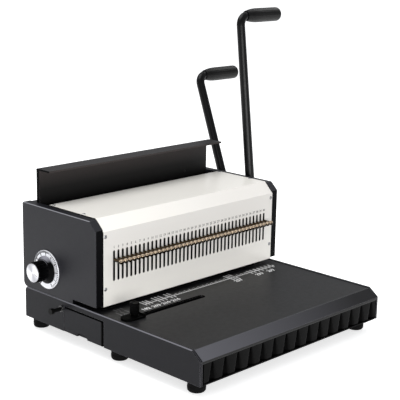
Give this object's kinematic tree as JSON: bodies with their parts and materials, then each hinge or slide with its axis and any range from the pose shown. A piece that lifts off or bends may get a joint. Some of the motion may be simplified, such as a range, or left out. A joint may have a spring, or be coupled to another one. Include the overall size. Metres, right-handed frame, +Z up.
{
  "type": "binding machine",
  "caption": "Desk punching and wire binding machine: two levers, punch ram with pull pins, closing bar, depth dial, paper stop, side guide and chip drawer.",
  "frame": {"origin": "on the desk surface under the middle of the overall box, with both levers at rest", "axes": "+X to the operator's right (lever side), +Y to the back, +Z up"},
  "size_m": [0.5586, 0.4503, 0.4823],
  "materials": {
    "black_paint": "fine textured powder coat, satin",
    "table_paint": "fine textured powder coat, satin",
    "white_paint": "smooth semi-gloss paint",
    "black_plastic": "moulded, matt",
    "grip_plastic": "soft-touch moulded, matt",
    "foot_rubber": "moulded rubber",
    "steel": "ground and oiled",
    "bright_steel": "bright plated",
    "brass": "turned and lacquered",
    "dial_silver": "satin anodised"
  },
  "bodies": {
    "frame": {"base_side_left": "black_paint", "base_side_right": "black_paint", "base_pan": "black_paint", "base_table": "table_paint", "base_front": "black_plastic", "rubber_feet": "foot_rubber", "side_plate_left": "black_paint", "side_plate_right": "black_paint", "front_cover": "white_paint", "cover_strips": "steel", "cover_screws": "bright_steel", "rear_cover": "black_paint", "die_block": "steel", "punch_guide": "steel", "guide_posts": "bright_steel", "shaft_bushes": "brass", "bar_guides": "steel", "closing_anvil": "black_paint", "dial_plate": "dial_silver", "margin_nut": "bright_steel", "drawer_runners": "steel", "ram_springs": "steel"},
    "punch_lever": {"punch_shaft": "steel", "punch_cams": "steel", "punch_lever_rod": "black_paint", "punch_lever_grip": "grip_plastic"},
    "ram": {"ram_bar": "steel", "punches": "steel", "pull_pins": "brass"},
    "pin_01": {"pull_pin_01": "brass"},
    "pin_24": {"pull_pin_24": "brass"},
    "pin_33": {"pull_pin_33": "brass"},
    "pin_35": {"pull_pin_35": "brass"},
    "closing_lever": {"closing_shaft": "steel", "closing_cranks": "steel", "closing_lever_rod": "black_paint", "closing_lever_grip": "grip_plastic"},
    "closing_press": {"closing_bar": "black_paint", "lift_brackets": "steel"},
    "dial": {"dial_shaft": "steel", "dial_knob": "black_plastic", "dial_cap": "dial_silver"},
    "margin_adjuster": {"margin_screw": "black_plastic"},
    "paper_stop": {"depth_stop": "steel"},
    "chip_drawer": {"drawer_tray": "black_paint", "drawer_face": "black_paint"},
    "side_guide": {"edge_guide": "black_plastic", "guide_nut": "steel"},
    "side_guide_knob": {"guide_knob": "black_plastic"}
  },
  "joints": [
    {"name": "punch_lever_turn", "type": "hinge", "parent": "frame", "child": "punch_lever", "pos_m": [-0.0517, 0.05673, 0.1322], "axis": [1, 0, 0], "range_deg": [0, 78]},
    {"name": "ram_press", "type": "slide", "parent": "frame", "child": "ram", "axis": [0, 0, -1], "range_m": [0, 0.016], "stiffness_N_per_m": 4000, "springref_m": -0.02, "deforming": ["ram_springs"]},
    {"name": "closing_lever_turn", "type": "hinge", "parent": "frame", "child": "closing_lever", "pos_m": [-0.0517, 0.12163, 0.1122], "axis": [1, 0, 0], "range_deg": [0, 80]},
    {"name": "closing_bar_press", "type": "slide", "parent": "frame", "child": "closing_press", "axis": [0, 0, -1], "range_m": [0, 0.0399], "stiffness_N_per_m": 1000, "springref_m": -0.06},
    {"name": "dial_turn", "type": "hinge", "parent": "frame", "child": "dial", "pos_m": [-0.0517, 0.10233, 0.1066], "axis": [1, 0, 0], "range_deg": [0, 300]},
    {"name": "margin_turn", "type": "hinge", "parent": "frame", "child": "margin_adjuster", "pos_m": [-0.0517, 0.06713, 0.0532], "axis": [1, 0, 0], "range_deg": [0, 180]},
    {"name": "paper_stop_slide", "type": "slide", "parent": "frame", "child": "paper_stop", "axis": [0, 1, 0], "range_m": [0, 0.003]},
    {"name": "drawer_slide", "type": "slide", "parent": "frame", "child": "chip_drawer", "axis": [-1, 0, 0], "range_m": [0, 0.2]},
    {"name": "side_guide_slide", "type": "slide", "parent": "frame", "child": "side_guide", "axis": [1, 0, 0], "range_m": [-0.004, 0.138]},
    {"name": "side_guide_knob_turn", "type": "hinge", "parent": "side_guide", "child": "side_guide_knob", "pos_m": [-0.2197, -0.06047, 0.08], "axis": [0, 0, 1], "range_deg": [0, 360]},
    {"name": "pin_01_pull", "type": "slide", "parent": "ram", "child": "pin_01", "axis": [0, -1, 0], "range_m": [0, 0.0065]},
    {"name": "pin_24_pull", "type": "slide", "parent": "ram", "child": "pin_24", "axis": [0, -1, 0], "range_m": [0, 0.0065]},
    {"name": "pin_33_pull", "type": "slide", "parent": "ram", "child": "pin_33", "axis": [0, -1, 0], "range_m": [0, 0.0065]},
    {"name": "pin_35_pull", "type": "slide", "parent": "ram", "child": "pin_35", "axis": [0, -1, 0], "range_m": [0, 0.0065]}
  ],
  "couplings": [
    {"joint": "ram_press", "follows": "punch_lever_turn", "m_per_rad": 0.01175},
    {"joint": "closing_bar_press", "follows": "closing_lever_turn", "m_per_rad": 0.02854},
    {"joint": "margin_turn", "follows": "paper_stop_slide", "rad_per_m": 1047.2}
  ]
}
